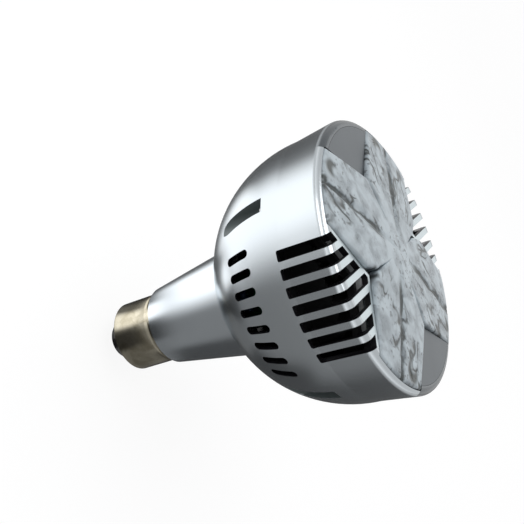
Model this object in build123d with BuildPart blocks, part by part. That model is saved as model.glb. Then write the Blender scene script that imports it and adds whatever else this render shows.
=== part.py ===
from build123d import *
import os
from math import asin, acos, cos, degrees, radians, sin, sqrt, tan

# Fan-cooled reflector-shaped LED lamp, in millimetres. +Z runs from the screw cap to the lens.
# The origin is on the axis, at the lower end of the screw shell's straight wall.

os.makedirs("parts", exist_ok=True)

# Clearances
glue_gap = 0.1
screw_gap = 0.15
lens_gap = 0.3
loose_gap = 0.4
running_gap = 0.03

# Screw cap
shell_radius = 13.1
shell_length = 18.0
shell_wall = 0.5
shoulder_radius = 9.4
shoulder_drop = 3.4
insulator_radius = 6.6
insulator_drop = 3.6
insulator_wall = 2.0
contact_radius = 4.6
contact_drop = 2.2
rivet_radius = 1.8

# Neck
neck_bottom_radius = 14.7
neck_top_radius = 20.1
neck_length = 34.8
neck_wall = 1.8
neck_floor = 2.0
spigot_length = 11.0
flange_width = 4.2
flange_height = 2.0
wire_hole_radius = 4.0
rail_depth = 1.0
rail_half_width = 2.2
neck_screw_count = 3
neck_screw_inset = 2.1
neck_screw_radius = 0.9
neck_screw_head_radius = 1.6
neck_screw_head = 1.0
neck_screw_grip = 2.6

# Dome housing
dome_radius = 45.8
dome_wall = 2.0
dome_floor = 5.0
rim_radius = 47.5
rim_height = 16.2
rim_lip = 2.7
rim_round = 2.4
seat_width = 2.4
seat_height = 2.0
lens_seat_drop = 2.0

# Front facets between the lens petals, each a V that points at the axis
facet_count = 4
facet_apex = 26.0
facet_half_angle = 54.0

# Vents: the long slots run along the side and over the rim, the intakes lie behind them
vent_directions = (-90.0, 90.0)
vent_slot_count = 7
vent_slot_width = 3.35
vent_slot_pitch = 5.52
vent_slot_drop = 18.3
vent_slot_round = 0.6
vent_margin = 1.3
intake_count = 8
intake_pitch = 7.9
intake_drop = 34.0
intake_length = 10.0
intake_width = 2.7

# Screw pockets in the dome
pocket_count = 4
pocket_angle = 45.0
pocket_radius = 2.6
pocket_wall = 1.6
pocket_drop = 22.0
pocket_inset = 4.7
housing_screw_radius = 1.2
housing_screw_head_radius = 2.3
housing_screw_head = 1.8
housing_screw_length = 9.0
screw_boss_radius = 2.4
screw_boss_margin = 0.5

# Lens
lens_wall = 2.0
lens_overlap = 1.3
lens_edge_rise = 0.2
lens_crown_rise = 2.6
seam_width = 0.8
seam_depth = 0.9
seam_start = 5.0
apex_hole_length = 5.5
apex_hole_width = 4.6

# Light engine and heat sink
sink_drop = 6.0
sink_inset = 2.0
sink_gap = 1.2
sink_base = 2.5
sink_core_radius = 9.0
fin_count = 36
fin_thickness = 1.1
fin_length = 5.6
plate_thickness = 1.6
plate_inset = 1.5
chip_size = 3.5
chip_height = 0.9
outer_chip_inset = 8.0
outer_chip_angle = 15.0
inner_chip_inset = 20.0
plate_screw_circle = 11.0
plate_screw_radius = 1.0
plate_screw_head_radius = 1.9
plate_screw_head = 1.2
plate_screw_length = 3.0

# Fan and the baffle that carries it
baffle_drop = 29.3
baffle_thickness = 2.0
baffle_ledge = 1.8
baffle_ledge_width = 2.0
fan_size = 40.0
fan_height = 10.0
fan_bore = 18.9
fan_corner = 3.0
fan_hole_pitch = 32.0
fan_screw_radius = 1.4
fan_screw_head_radius = 2.6
fan_screw_head = 1.6
fan_boss_radius = 3.0
fan_boss_height = 3.0
hub_plate_radius = 8.6
hub_plate_thickness = 1.5
spoke_count = 4
spoke_width = 2.4
bearing_tube_radius = 3.1
bearing_outer_radius = 2.2
bearing_length = 5.0
shaft_radius = 1.0
rotor_radius = 18.2
rotor_hub_radius = 9.2
rotor_wall = 1.0
rotor_height = 6.4
rotor_lift = 1.0
blade_count = 7
blade_thickness = 0.9
blade_root_angle = 48.0
blade_tip_angle = 62.0
magnet_thickness = 1.2
air_gap = 0.6
stator_height = 2.6
stator_pole_count = 4
stator_pole_width = 1.8
coil_thickness = 0.7
circuit_thickness = 0.8

# Driver
board_width = 21.6
board_height = 39.0
board_thickness = 1.6
core_width = 11.0
core_depth = 9.0
core_height = 12.0
core_yoke = 2.0
core_side = 1.2
core_lift = 10.0
leg_radius = 1.9
winding_radius = 4.2
can_round = 0.6
bulk_radius = 5.0
bulk_length = 17.0
bulk_lift = 1.5
output_radius = 4.0
output_length = 12.0
film_size = (10.0, 4.5, 7.0)
film_place = (-3.0, 10.0)
film_round = 0.8
bridge_size = (6.0, 2.4, 5.0)
bridge_place = (-5.0, 19.0)
chip_body_size = (5.0, 1.6, 4.0)
chip_body_place = (2.0, 28.0)
body_chamfer = 0.3
choke_radius = 4.0
choke_depth = 6.0
choke_place = (4.5, 19.5)
choke_round = 0.8
fuse_radius = 1.6
fuse_length = 8.0
fuse_lift = 33.0
fuse_round = 0.5

# Leads
wire_radius = 0.6
wire_bend = 4.0
wire_end_bend = 1.5
cap_lead_overlap = 3.0
shell_lead_x = -2.0
shell_lead_z = 3.5
plate_lead_overlap = 4.0
plate_lead_lift = 7.0
plate_lead_rise = 8.0
fan_lead_overlap = 3.0
fan_lead_lift = 5.0
fan_lead_rise = 9.0

# Heights that follow from the sizes above
shoulder_z = -shoulder_drop
insulator_z = shoulder_z - insulator_drop
contact_z = insulator_z - contact_drop
neck_z = shell_length
board_z = neck_z + neck_floor
dome_z = neck_z + neck_length
collar_radius = neck_top_radius + glue_gap
flange_radius = neck_top_radius + flange_width
neck_screw_circle = neck_top_radius + neck_screw_inset
dome_centre_z = dome_z + sqrt(dome_radius**2 - collar_radius**2)
dome_floor_z = dome_z + dome_floor
flange_z = dome_floor_z + flange_height
rim_z = dome_centre_z + rim_height
inner_dome_radius = dome_radius - dome_wall
lens_seat_z = rim_z - lens_seat_drop
seat_bottom_z = lens_seat_z - seat_height
rim_flare = (rim_radius - dome_radius) / rim_height
opening_radius = dome_radius + rim_flare * (seat_bottom_z - dome_centre_z) - rim_lip
lens_radius = opening_radius + lens_overlap
pocket_circle = min(
    dome_radius - pocket_inset,
    opening_radius - screw_boss_radius - screw_boss_margin,
)
sink_radius = opening_radius - seat_width - sink_inset
outer_chip_circle = sink_radius - outer_chip_inset
inner_chip_circle = sink_radius - inner_chip_inset
sink_top_z = rim_z - sink_drop
sink_base_z = sink_top_z - sink_base
fin_z = sink_base_z - fin_length
plate_top_z = sink_top_z + plate_thickness
pocket_z = rim_z - pocket_drop
pocket_top_z = pocket_z + pocket_wall
baffle_z = rim_z - baffle_drop
fan_z = baffle_z + baffle_thickness
fan_top_z = fan_z + fan_height
hub_plate_z = fan_top_z - hub_plate_thickness
rotor_z = fan_z + rotor_lift


def sphere_radius_at(radius, height):
    """Radius of the dome's sphere, of the given size, at a height."""
    return sqrt(radius**2 - (dome_centre_z - height) ** 2)


def facet_points(gap):
    """Corners of one V facet that is grown by a gap on both its sides."""
    half_angle = radians(facet_half_angle)
    apex = facet_apex - gap / sin(half_angle)
    reach = rim_radius
    return [
        (apex, 0),
        (apex + reach, reach * tan(half_angle)),
        (apex + reach, -reach * tan(half_angle)),
    ]


def petal_outline(radius, gap, mode=Mode.ADD):
    """Disc with a V cut out at each facet, which leaves four petals joined at the centre."""
    with BuildSketch() as petals:
        Circle(radius)
        with PolarLocations(0, facet_count):
            Polygon(*facet_points(gap), align=None, mode=Mode.SUBTRACT)
    add(petals.sketch, mode=mode)


def pocket_outline(wall):
    """U-shaped channel that opens outwards, grown by a wall."""
    width = 2 * (pocket_radius + wall)
    reach = max(rim_radius, dome_radius) - pocket_circle
    with PolarLocations(pocket_circle, pocket_count, start_angle=pocket_angle):
        Circle(width / 2)
    with PolarLocations(pocket_circle + reach / 2, pocket_count, start_angle=pocket_angle):
        Rectangle(reach, width)


def radial_plane(direction, height):
    """Plane that faces outwards in a direction, given in degrees, with its y along the axis."""
    angle = radians(direction)
    outward = (cos(angle), sin(angle), 0)
    sideways = (-sin(angle), cos(angle), 0)
    return Plane(origin=(0, 0, height), x_dir=sideways, z_dir=outward)


def round_wire(points, bend):
    """Round wire of straight runs joined by arcs."""
    with BuildLine() as route:
        FilletPolyline(*points, radius=bend)
    with BuildSketch(Plane(origin=route.wire() @ 0, z_dir=route.wire() % 0)) as section:
        Circle(wire_radius)
    sweep(section.sketch, path=route.wire())


def screw(height, shank_radius, shank_length, head_radius, head_height, head_up):
    """Pan-head screw at the current locations; height is where its head meets the work."""
    up = 1 if head_up else -1
    with Locations((0, 0, height + up * head_height / 2)):
        Cylinder(head_radius, head_height)
    with Locations((0, 0, height - up * shank_length / 2)):
        Cylinder(shank_radius, shank_length)


# Screw shell: thin metal cup with a straight wall and a tapered lower end
with BuildPart() as screw_shell:
    with BuildSketch(Plane.XZ):
        with BuildLine():
            Polyline(
                (shoulder_radius - shell_wall, shoulder_z),
                (shoulder_radius, shoulder_z),
                (shell_radius, 0),
                (shell_radius, shell_length),
                (shell_radius - shell_wall, shell_length),
                (shell_radius - shell_wall, 0),
                close=True,
            )
        make_face()
    revolve(axis=Axis.Z)
screw_shell.part.label = "screw_shell"
export_step(screw_shell.part, "parts/screw_shell.step")

# Insulator that closes the shell and carries the contact
with BuildPart() as cap_insulator:
    with BuildSketch(Plane.XZ):
        with BuildLine():
            Polyline(
                (rivet_radius + glue_gap, insulator_z),
                (insulator_radius, insulator_z),
                (shoulder_radius, shoulder_z),
                (shoulder_radius - shell_wall - glue_gap, shoulder_z),
                (insulator_radius, insulator_z + insulator_wall),
                (rivet_radius + glue_gap, insulator_z + insulator_wall),
                close=True,
            )
        make_face()
    revolve(axis=Axis.Z)
cap_insulator.part.label = "cap_insulator"
export_step(cap_insulator.part, "parts/cap_insulator.step")

# Centre contact: a domed button with a rivet through the insulator
with BuildPart() as centre_contact:
    with BuildSketch(Plane.XZ):
        with BuildLine():
            base = Line((0, contact_z), (contact_radius / 2, contact_z))
            ThreePointArc(
                base @ 1,
                (contact_radius * 0.85, contact_z + contact_drop * 0.4),
                (contact_radius, insulator_z),
            )
            Polyline(
                (contact_radius, insulator_z),
                (rivet_radius, insulator_z),
                (rivet_radius, insulator_z + insulator_wall),
                (0, insulator_z + insulator_wall),
                (0, contact_z),
            )
        make_face()
    revolve(axis=Axis.Z)
centre_contact.part.label = "centre_contact"
export_step(centre_contact.part, "parts/centre_contact.step")

# Board rails, kept inside the neck's cone
with BuildPart() as board_rails:
    with BuildSketch(Plane.XY.offset(board_z)):
        Rectangle(2 * neck_top_radius, 2 * rail_half_width)
        Rectangle(board_width - 2 * rail_depth, 2 * rail_half_width, mode=Mode.SUBTRACT)
        Rectangle(board_width + 2 * glue_gap, board_thickness + 2 * glue_gap, mode=Mode.SUBTRACT)
    extrude(amount=dome_z - board_z)
    with BuildSketch(Plane.XZ):
        with BuildLine():
            Polyline(
                (0, board_z),
                (neck_bottom_radius - neck_wall / 2, board_z),
                (neck_top_radius - neck_wall / 2, dome_z),
                (0, dome_z),
                close=True,
            )
        make_face()
    revolve(axis=Axis.Z, mode=Mode.INTERSECT)

# Neck: hollow cone with a spigot in the shell, a floor for the driver and a flange in the dome
spigot_radius = shell_radius - shell_wall - glue_gap
with BuildPart() as neck_housing:
    with BuildSketch(Plane.XZ):
        with BuildLine():
            Polyline(
                (wire_hole_radius, neck_z),
                (spigot_radius - neck_wall, neck_z),
                (spigot_radius - neck_wall, neck_z - spigot_length),
                (spigot_radius, neck_z - spigot_length),
                (spigot_radius, neck_z),
                (neck_bottom_radius, neck_z),
                (neck_top_radius, dome_z),
                (neck_top_radius, dome_floor_z),
                (flange_radius, dome_floor_z),
                (flange_radius, flange_z),
                (neck_top_radius - neck_wall, flange_z),
                (neck_top_radius - neck_wall, dome_z),
                (neck_bottom_radius - neck_wall, board_z),
                (wire_hole_radius, board_z),
                close=True,
            )
        make_face()
    revolve(axis=Axis.Z)
    add(board_rails.part)
    with BuildSketch(Plane.XY.offset(flange_z)):
        with PolarLocations(neck_screw_circle, neck_screw_count):
            Circle(neck_screw_radius + screw_gap)
    extrude(amount=-flange_height, mode=Mode.SUBTRACT)
neck_housing.part.label = "neck_housing"
export_step(neck_housing.part, "parts/neck_housing.step")

# Walls of the screw pockets, kept inside the dome
with BuildPart() as pocket_walls:
    with BuildSketch(Plane.XY.offset(dome_floor_z)):
        pocket_outline(pocket_wall)
    extrude(amount=pocket_top_z - dome_floor_z)
    with Locations((0, 0, dome_centre_z)):
        Sphere(dome_radius - dome_wall / 2, mode=Mode.INTERSECT)

# Shape of the long slots: each starts on a facet, goes over the rim and down the side
with BuildPart() as vent_slots:
    slot_length = vent_slot_drop + rim_round
    for direction in vent_directions:
        with BuildSketch(radial_plane(direction, rim_z - vent_slot_drop).offset(facet_apex)):
            with Locations((0, slot_length / 2)):
                with GridLocations(vent_slot_pitch, 0, vent_slot_count, 1):
                    RectangleRounded(vent_slot_width, slot_length, vent_slot_round)
        extrude(amount=rim_radius)
    with BuildSketch(Plane.XY.offset(rim_z - vent_slot_drop)):
        for direction in vent_directions:
            with Locations(Location((0, 0, 0), (0, 0, direction))):
                Polygon(*facet_points(-vent_margin), align=None)
    extrude(amount=slot_length, mode=Mode.INTERSECT)

# Dome housing: spherical shell, flared rim, vents and screw pockets
with BuildPart() as dome_housing:
    with BuildSketch(Plane.XZ):
        with BuildLine():
            outer_start = -degrees(acos(collar_radius / dome_radius))
            inner_start = -degrees(asin((dome_centre_z - dome_floor_z) / inner_dome_radius))
            outer = CenterArc((0, dome_centre_z), dome_radius, outer_start, -outer_start)
            inner = CenterArc((0, dome_centre_z), inner_dome_radius, inner_start, -inner_start)
            Polyline(
                outer @ 1,
                (rim_radius, rim_z),
                (opening_radius, rim_z),
                (opening_radius, seat_bottom_z),
                inner @ 1,
            )
            Polyline(inner @ 0, (collar_radius, dome_floor_z), outer @ 0)
        make_face()
    revolve(axis=Axis.Z)
    fillet(dome_housing.edges().filter_by(GeomType.CIRCLE).group_by(SortBy.RADIUS)[-1], rim_round)
    # Seat for the facets and the lens, notched so that the heat sink's bosses go in past it
    with BuildSketch(Plane.XY.offset(lens_seat_z)):
        Circle(opening_radius + rim_lip / 2)
        Circle(opening_radius - seat_width, mode=Mode.SUBTRACT)
        with PolarLocations(pocket_circle, pocket_count, start_angle=pocket_angle):
            Circle(screw_boss_radius + loose_gap, mode=Mode.SUBTRACT)
    extrude(amount=-seat_height)
    # Rebate in the rim, in which the lens petals lie
    with BuildSketch(Plane.XY.offset(lens_seat_z)) as rebate:
        petal_outline(lens_radius + lens_gap, 0)
    extrude(rebate.sketch, amount=lens_seat_drop, mode=Mode.SUBTRACT)
    with BuildSketch(Plane.XY.offset(dome_floor_z)):
        with PolarLocations(neck_screw_circle, neck_screw_count):
            Circle(neck_screw_radius + glue_gap)
    extrude(amount=-neck_screw_grip, mode=Mode.SUBTRACT)
    # Ledge for the fan baffle
    with BuildSketch(Plane.XY.offset(baffle_z)):
        Circle(sphere_radius_at(dome_radius - dome_wall / 2, baffle_z - baffle_ledge))
        Circle(
            sphere_radius_at(inner_dome_radius, baffle_z) - baffle_ledge_width,
            mode=Mode.SUBTRACT,
        )
    extrude(amount=-baffle_ledge)
    # Screw pockets, open outwards, each with a hole at its front end
    add(pocket_walls.part)
    with BuildSketch(Plane.XY.offset(dome_floor_z)):
        pocket_outline(0)
    extrude(amount=pocket_z - dome_floor_z, mode=Mode.SUBTRACT)
    with BuildSketch(Plane.XY.offset(pocket_z)):
        with PolarLocations(pocket_circle, pocket_count, start_angle=pocket_angle):
            Circle(housing_screw_radius + screw_gap)
    extrude(amount=pocket_wall, mode=Mode.SUBTRACT)
    add(vent_slots.part, mode=Mode.SUBTRACT)
    for direction in vent_directions:
        for step in range(intake_count):
            turn = direction + (step - (intake_count - 1) / 2) * intake_pitch
            with BuildSketch(radial_plane(turn, rim_z - intake_drop).offset(flange_radius)):
                SlotOverall(intake_length, intake_width, rotation=90)
            extrude(amount=rim_radius, mode=Mode.SUBTRACT)
dome_housing.part.label = "dome_housing"
export_step(dome_housing.part, "parts/dome_housing.step")

# Screws that hold the neck's flange on the dome's floor
with BuildPart() as neck_screws:
    with PolarLocations(neck_screw_circle, neck_screw_count):
        screw(
            flange_z,
            neck_screw_radius,
            flange_height + neck_screw_grip,
            neck_screw_head_radius,
            neck_screw_head,
            head_up=True,
        )
neck_screws.part.label = "neck_screws"
export_step(neck_screws.part, "parts/neck_screws.step")

# Front facets: four plates on the seat, flush with the rim, two of them slotted
with BuildPart() as front_facets:
    with BuildSketch(Plane.XY.offset(lens_seat_z)):
        with PolarLocations(0, facet_count):
            Polygon(*facet_points(0), align=None)
        Circle(opening_radius - glue_gap, mode=Mode.INTERSECT)
    extrude(amount=lens_seat_drop)
    add(vent_slots.part, mode=Mode.SUBTRACT)
front_facets.part.label = "front_facets"
export_step(front_facets.part, "parts/front_facets.step")

# Screws that hold the heat sink in the dome, driven from behind through the pockets
with BuildPart() as housing_screws:
    with PolarLocations(pocket_circle, pocket_count, start_angle=pocket_angle):
        screw(
            pocket_z,
            housing_screw_radius,
            housing_screw_length,
            housing_screw_head_radius,
            housing_screw_head,
            head_up=False,
        )
housing_screws.part.label = "housing_screws"
export_step(housing_screws.part, "parts/housing_screws.step")


def crowned(radius, gap, lowest, edge_height, crown_height):
    """Petal-shaped solid with a shallow spherical top."""
    with BuildSketch(Plane.XY.offset(lowest)) as outline:
        petal_outline(radius, gap)
    extrude(outline.sketch, amount=crown_height - lowest)
    sagitta = crown_height - edge_height
    crown_radius = (radius**2 + sagitta**2) / (2 * sagitta)
    with Locations((0, 0, crown_height - crown_radius)):
        Sphere(crown_radius, mode=Mode.INTERSECT)


lens_edge_z = rim_z + lens_edge_rise
lens_crown_z = rim_z + lens_crown_rise
with BuildPart() as lens_hollow:
    crowned(
        lens_radius - lens_wall,
        lens_gap + lens_wall,
        lens_seat_z,
        lens_edge_z - lens_wall,
        lens_crown_z - lens_wall,
    )

# Lens: one clear moulding of four petals, crowned, with seams and two apex openings
with BuildPart() as front_lens:
    crowned(lens_radius, lens_gap, lens_seat_z, lens_edge_z, lens_crown_z)
    add(lens_hollow.part, mode=Mode.SUBTRACT)
    seam_length = facet_apex - seam_start
    with BuildSketch(Plane.XY.offset(lens_crown_z - seam_depth)):
        with PolarLocations(seam_start + seam_length / 2, facet_count):
            Rectangle(seam_length, seam_width)
    extrude(amount=seam_depth, mode=Mode.SUBTRACT)
    for direction in vent_directions:
        with BuildSketch(Plane.XY.offset(lens_seat_z)):
            with Locations(Location((0, 0, 0), (0, 0, direction))):
                Polygon(
                    (facet_apex - apex_hole_length, 0),
                    (facet_apex + lens_wall, apex_hole_width / 2),
                    (facet_apex + lens_wall, -apex_hole_width / 2),
                    align=None,
                )
        extrude(amount=lens_crown_z - lens_seat_z, mode=Mode.SUBTRACT)
front_lens.part.label = "front_lens"
export_step(front_lens.part, "parts/front_lens.step")

# Heat sink: petal-shaped base, radial fins below it and four screw bosses on ears
with BuildPart() as heat_sink:
    with BuildSketch(Plane.XY.offset(fin_z)):
        with PolarLocations(sink_radius / 2, fin_count):
            Rectangle(sink_radius, fin_thickness)
        Circle(sink_core_radius)
    extrude(amount=fin_length)
    with BuildSketch(Plane.XY.offset(sink_base_z)):
        Circle(sink_radius)
    extrude(amount=sink_base)
    with BuildSketch(Plane.XY.offset(fin_z)):
        petal_outline(sink_radius, sink_gap)
    extrude(amount=sink_top_z - fin_z, mode=Mode.INTERSECT)
    with BuildSketch(Plane.XY.offset(pocket_top_z)):
        with PolarLocations(pocket_circle, pocket_count, start_angle=pocket_angle):
            Circle(screw_boss_radius)
    extrude(amount=sink_top_z - pocket_top_z)
    with BuildSketch(Plane.XY.offset(sink_base_z)):
        with PolarLocations(pocket_circle / 2, pocket_count, start_angle=pocket_angle):
            Rectangle(pocket_circle, 2 * screw_boss_radius)
    extrude(amount=sink_base)
    with BuildSketch(Plane.XY.offset(pocket_top_z)):
        with PolarLocations(pocket_circle, pocket_count, start_angle=pocket_angle):
            Circle(housing_screw_radius + glue_gap)
    extrude(amount=housing_screw_length, mode=Mode.SUBTRACT)
    with BuildSketch(Plane.XY.offset(sink_top_z)):
        with PolarLocations(plate_screw_circle, pocket_count, start_angle=pocket_angle):
            Circle(plate_screw_radius + glue_gap)
    extrude(amount=-plate_screw_length, mode=Mode.SUBTRACT)
heat_sink.part.label = "heat_sink"
export_step(heat_sink.part, "parts/heat_sink.step")

# Plate that carries the light-emitting chips
with BuildPart() as led_plate:
    with BuildSketch(Plane.XY.offset(sink_top_z)):
        petal_outline(sink_radius - plate_inset, sink_gap + plate_inset)
        with PolarLocations(plate_screw_circle, pocket_count, start_angle=pocket_angle):
            Circle(plate_screw_radius + screw_gap, mode=Mode.SUBTRACT)
    extrude(amount=plate_thickness)
led_plate.part.label = "led_plate"
export_step(led_plate.part, "parts/led_plate.step")

# Light-emitting chips, three on each petal
with BuildPart() as led_chips:
    with BuildSketch(Plane.XY.offset(plate_top_z)):
        for turn in (-outer_chip_angle, outer_chip_angle):
            with PolarLocations(outer_chip_circle, pocket_count, start_angle=pocket_angle + turn):
                Rectangle(chip_size, chip_size)
        with PolarLocations(inner_chip_circle, pocket_count, start_angle=pocket_angle):
            Rectangle(chip_size, chip_size)
    extrude(amount=chip_height)
led_chips.part.label = "led_chips"
export_step(led_chips.part, "parts/led_chips.step")

# Screws that hold the plate on the heat sink
with BuildPart() as plate_screws:
    with PolarLocations(plate_screw_circle, pocket_count, start_angle=pocket_angle):
        screw(
            plate_top_z,
            plate_screw_radius,
            plate_thickness + plate_screw_length,
            plate_screw_head_radius,
            plate_screw_head,
            head_up=True,
        )
plate_screws.part.label = "plate_screws"
export_step(plate_screws.part, "parts/plate_screws.step")

# Baffle: disc on the dome's ledge that parts the intake air from the outlet air
lead_hole_radius = 2 * wire_radius
led_lead_reach = facet_apex + wire_radius
fan_lead_reach = fan_size / 2 + glue_gap + wire_radius
with BuildPart() as fan_baffle:
    with BuildSketch(Plane.XY.offset(baffle_z)):
        Circle(sphere_radius_at(inner_dome_radius, baffle_z) - loose_gap)
        Circle(fan_bore, mode=Mode.SUBTRACT)
        with Locations((led_lead_reach, 0), (-led_lead_reach, 0), (0, fan_lead_reach)):
            Circle(lead_hole_radius, mode=Mode.SUBTRACT)
    extrude(amount=baffle_thickness)
    with BuildSketch(Plane.XY.offset(baffle_z)):
        pocket_outline(pocket_wall + loose_gap)
    extrude(amount=baffle_thickness, mode=Mode.SUBTRACT)
    with BuildSketch(Plane.XY.offset(baffle_z)):
        with GridLocations(fan_hole_pitch, fan_hole_pitch, 2, 2):
            Circle(fan_boss_radius)
    extrude(amount=-fan_boss_height)
    with BuildSketch(Plane.XY.offset(fan_z)):
        with GridLocations(fan_hole_pitch, fan_hole_pitch, 2, 2):
            Circle(fan_screw_radius + glue_gap)
    extrude(amount=-baffle_thickness - fan_boss_height, mode=Mode.SUBTRACT)
fan_baffle.part.label = "fan_baffle"
export_step(fan_baffle.part, "parts/fan_baffle.step")

# Fan frame: square duct, hub plate on spokes and the tube that holds the bearing
bearing_z = hub_plate_z - bearing_length
with BuildPart() as fan_frame:
    with BuildSketch(Plane.XY.offset(fan_z)):
        RectangleRounded(fan_size, fan_size, fan_corner)
        Circle(fan_bore, mode=Mode.SUBTRACT)
    extrude(amount=fan_height)
    with BuildSketch(Plane.XY.offset(hub_plate_z)):
        with PolarLocations(fan_bore / 2, spoke_count, start_angle=pocket_angle):
            Rectangle(fan_bore + spoke_width, spoke_width)
        Circle(hub_plate_radius)
    extrude(amount=hub_plate_thickness)
    with BuildSketch(Plane.XY.offset(bearing_z)):
        Circle(bearing_tube_radius)
    extrude(amount=bearing_length)
    with BuildSketch(Plane.XY.offset(bearing_z)):
        Circle(bearing_outer_radius + glue_gap)
    extrude(amount=bearing_length, mode=Mode.SUBTRACT)
    with BuildSketch(Plane.XY.offset(fan_z)):
        with GridLocations(fan_hole_pitch, fan_hole_pitch, 2, 2):
            Circle(fan_screw_radius + screw_gap)
    extrude(amount=fan_height, mode=Mode.SUBTRACT)
fan_frame.part.label = "fan_frame"
export_step(fan_frame.part, "parts/fan_frame.step")

# Screws that hold the fan on the baffle
with BuildPart() as fan_screws:
    with GridLocations(fan_hole_pitch, fan_hole_pitch, 2, 2):
        screw(
            fan_top_z,
            fan_screw_radius,
            fan_height + baffle_thickness + fan_boss_height,
            fan_screw_head_radius,
            fan_screw_head,
            head_up=True,
        )
fan_screws.part.label = "fan_screws"
export_step(fan_screws.part, "parts/fan_screws.step")

# Sleeve bearing
with BuildPart() as fan_bearing:
    with BuildSketch(Plane.XY.offset(bearing_z)):
        Circle(bearing_outer_radius)
        Circle(shaft_radius + running_gap, mode=Mode.SUBTRACT)
    extrude(amount=bearing_length)
fan_bearing.part.label = "fan_bearing"
export_step(fan_bearing.part, "parts/fan_bearing.step")

# One blade, lofted from a steep root to a flatter tip
blade_root = rotor_hub_radius - rotor_wall / 2
blade_mid_z = rotor_z + rotor_height / 2
with BuildPart() as fan_blade:
    for reach, pitch in ((blade_root, blade_root_angle), (rotor_radius, blade_tip_angle)):
        with BuildSketch(Plane.YZ.offset(reach)):
            with Locations((0, blade_mid_z)):
                Rectangle(blade_thickness, rotor_height / cos(radians(pitch)), rotation=pitch)
    loft()
    with BuildSketch(Plane.XY.offset(rotor_z)):
        Circle(rotor_radius)
    extrude(amount=rotor_height, mode=Mode.INTERSECT)

# Rotor: cup-shaped hub, closed towards the intake, with blades around it
with BuildPart() as fan_rotor:
    with BuildSketch(Plane.XY.offset(rotor_z)):
        Circle(rotor_hub_radius)
    extrude(amount=rotor_height)
    with BuildSketch(Plane.XY.offset(rotor_z + rotor_wall)):
        Circle(rotor_hub_radius - rotor_wall)
    extrude(amount=rotor_height, mode=Mode.SUBTRACT)
    with PolarLocations(0, blade_count):
        add(fan_blade.part)
fan_rotor.part.label = "fan_rotor"
export_step(fan_rotor.part, "parts/fan_rotor.step")

# Shaft, fixed in the rotor's end wall
shaft_z = rotor_z + rotor_wall
with BuildPart() as fan_shaft:
    with BuildSketch(Plane.XY.offset(shaft_z)):
        Circle(shaft_radius)
    extrude(amount=hub_plate_z - shaft_z - loose_gap)
fan_shaft.part.label = "fan_shaft"
export_step(fan_shaft.part, "parts/fan_shaft.step")

# Magnet ring inside the rotor's cup
magnet_outer_radius = rotor_hub_radius - rotor_wall - glue_gap
magnet_inner_radius = magnet_outer_radius - magnet_thickness
with BuildPart() as fan_magnet_ring:
    with BuildSketch(Plane.XY.offset(shaft_z)):
        Circle(magnet_outer_radius)
        Circle(magnet_inner_radius, mode=Mode.SUBTRACT)
    extrude(amount=rotor_height - rotor_wall)
fan_magnet_ring.part.label = "fan_magnet_ring"
export_step(fan_magnet_ring.part, "parts/fan_magnet_ring.step")

# Circuit board of the fan, under the hub plate
circuit_radius = rotor_hub_radius - rotor_wall - loose_gap
with BuildPart() as fan_circuit_board:
    with BuildSketch(Plane.XY.offset(hub_plate_z)):
        Circle(circuit_radius)
        Circle(bearing_tube_radius + glue_gap, mode=Mode.SUBTRACT)
    extrude(amount=-circuit_thickness)
fan_circuit_board.part.label = "fan_circuit_board"
export_step(fan_circuit_board.part, "parts/fan_circuit_board.step")

# Stator: pole stack on the bearing tube, with a coil round each pole
stator_radius = magnet_inner_radius - air_gap
stator_top_z = hub_plate_z - circuit_thickness - coil_thickness - glue_gap
stator_z = stator_top_z - stator_height
pole_length = stator_radius - bearing_tube_radius
coil_length = pole_length / 2
coil_centre = bearing_tube_radius + glue_gap + pole_length / 2
with BuildPart() as fan_stator:
    with BuildSketch(Plane.XY.offset(stator_z)):
        with PolarLocations(stator_radius / 2, stator_pole_count):
            Rectangle(stator_radius, stator_pole_width)
        Circle(bearing_tube_radius + 2 * loose_gap)
        Circle(stator_radius, mode=Mode.INTERSECT)
        Circle(bearing_tube_radius + glue_gap, mode=Mode.SUBTRACT)
    extrude(amount=stator_height)
fan_stator.part.label = "fan_stator"
export_step(fan_stator.part, "parts/fan_stator.step")

coil_reach = stator_pole_width / 2 + coil_thickness
with BuildPart() as fan_coils:
    with PolarLocations(coil_centre + loose_gap, stator_pole_count):
        with Locations((0, 0, stator_z + stator_height / 2)):
            Box(coil_length, 2 * coil_reach, stator_height + 2 * coil_thickness)
    with PolarLocations(stator_radius / 2, stator_pole_count):
        with Locations((0, 0, stator_z + stator_height / 2)):
            Box(
                stator_radius,
                stator_pole_width + 2 * glue_gap,
                stator_height + 2 * glue_gap,
                mode=Mode.SUBTRACT,
            )
fan_coils.part.label = "fan_coils"
export_step(fan_coils.part, "parts/fan_coils.step")

# Driver board, upright in the neck's rails
board_face = board_thickness / 2
with BuildPart() as driver_board:
    with BuildSketch(Plane.XY.offset(board_z)):
        Rectangle(board_width, board_thickness)
    extrude(amount=board_height)
driver_board.part.label = "driver_board"
export_step(driver_board.part, "parts/driver_board.step")

# Transformer: ferrite frame with a round middle leg, and its winding
core_z = board_z + core_lift
core_y = board_face + core_depth / 2
with BuildPart() as transformer_core:
    with Locations((0, core_y, core_z)):
        Box(core_width, core_depth, core_height)
        Box(
            core_width - 2 * core_side,
            core_depth,
            core_height - 2 * core_yoke,
            mode=Mode.SUBTRACT,
        )
        Cylinder(leg_radius, core_height)
transformer_core.part.label = "transformer_core"
export_step(transformer_core.part, "parts/transformer_core.step")

with BuildPart() as transformer_winding:
    with Locations((0, core_y, core_z)):
        Cylinder(winding_radius, core_height - 2 * core_yoke - 2 * glue_gap)
        Cylinder(leg_radius + glue_gap, core_height, mode=Mode.SUBTRACT)
transformer_winding.part.label = "transformer_winding"
export_step(transformer_winding.part, "parts/transformer_winding.step")

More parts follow.
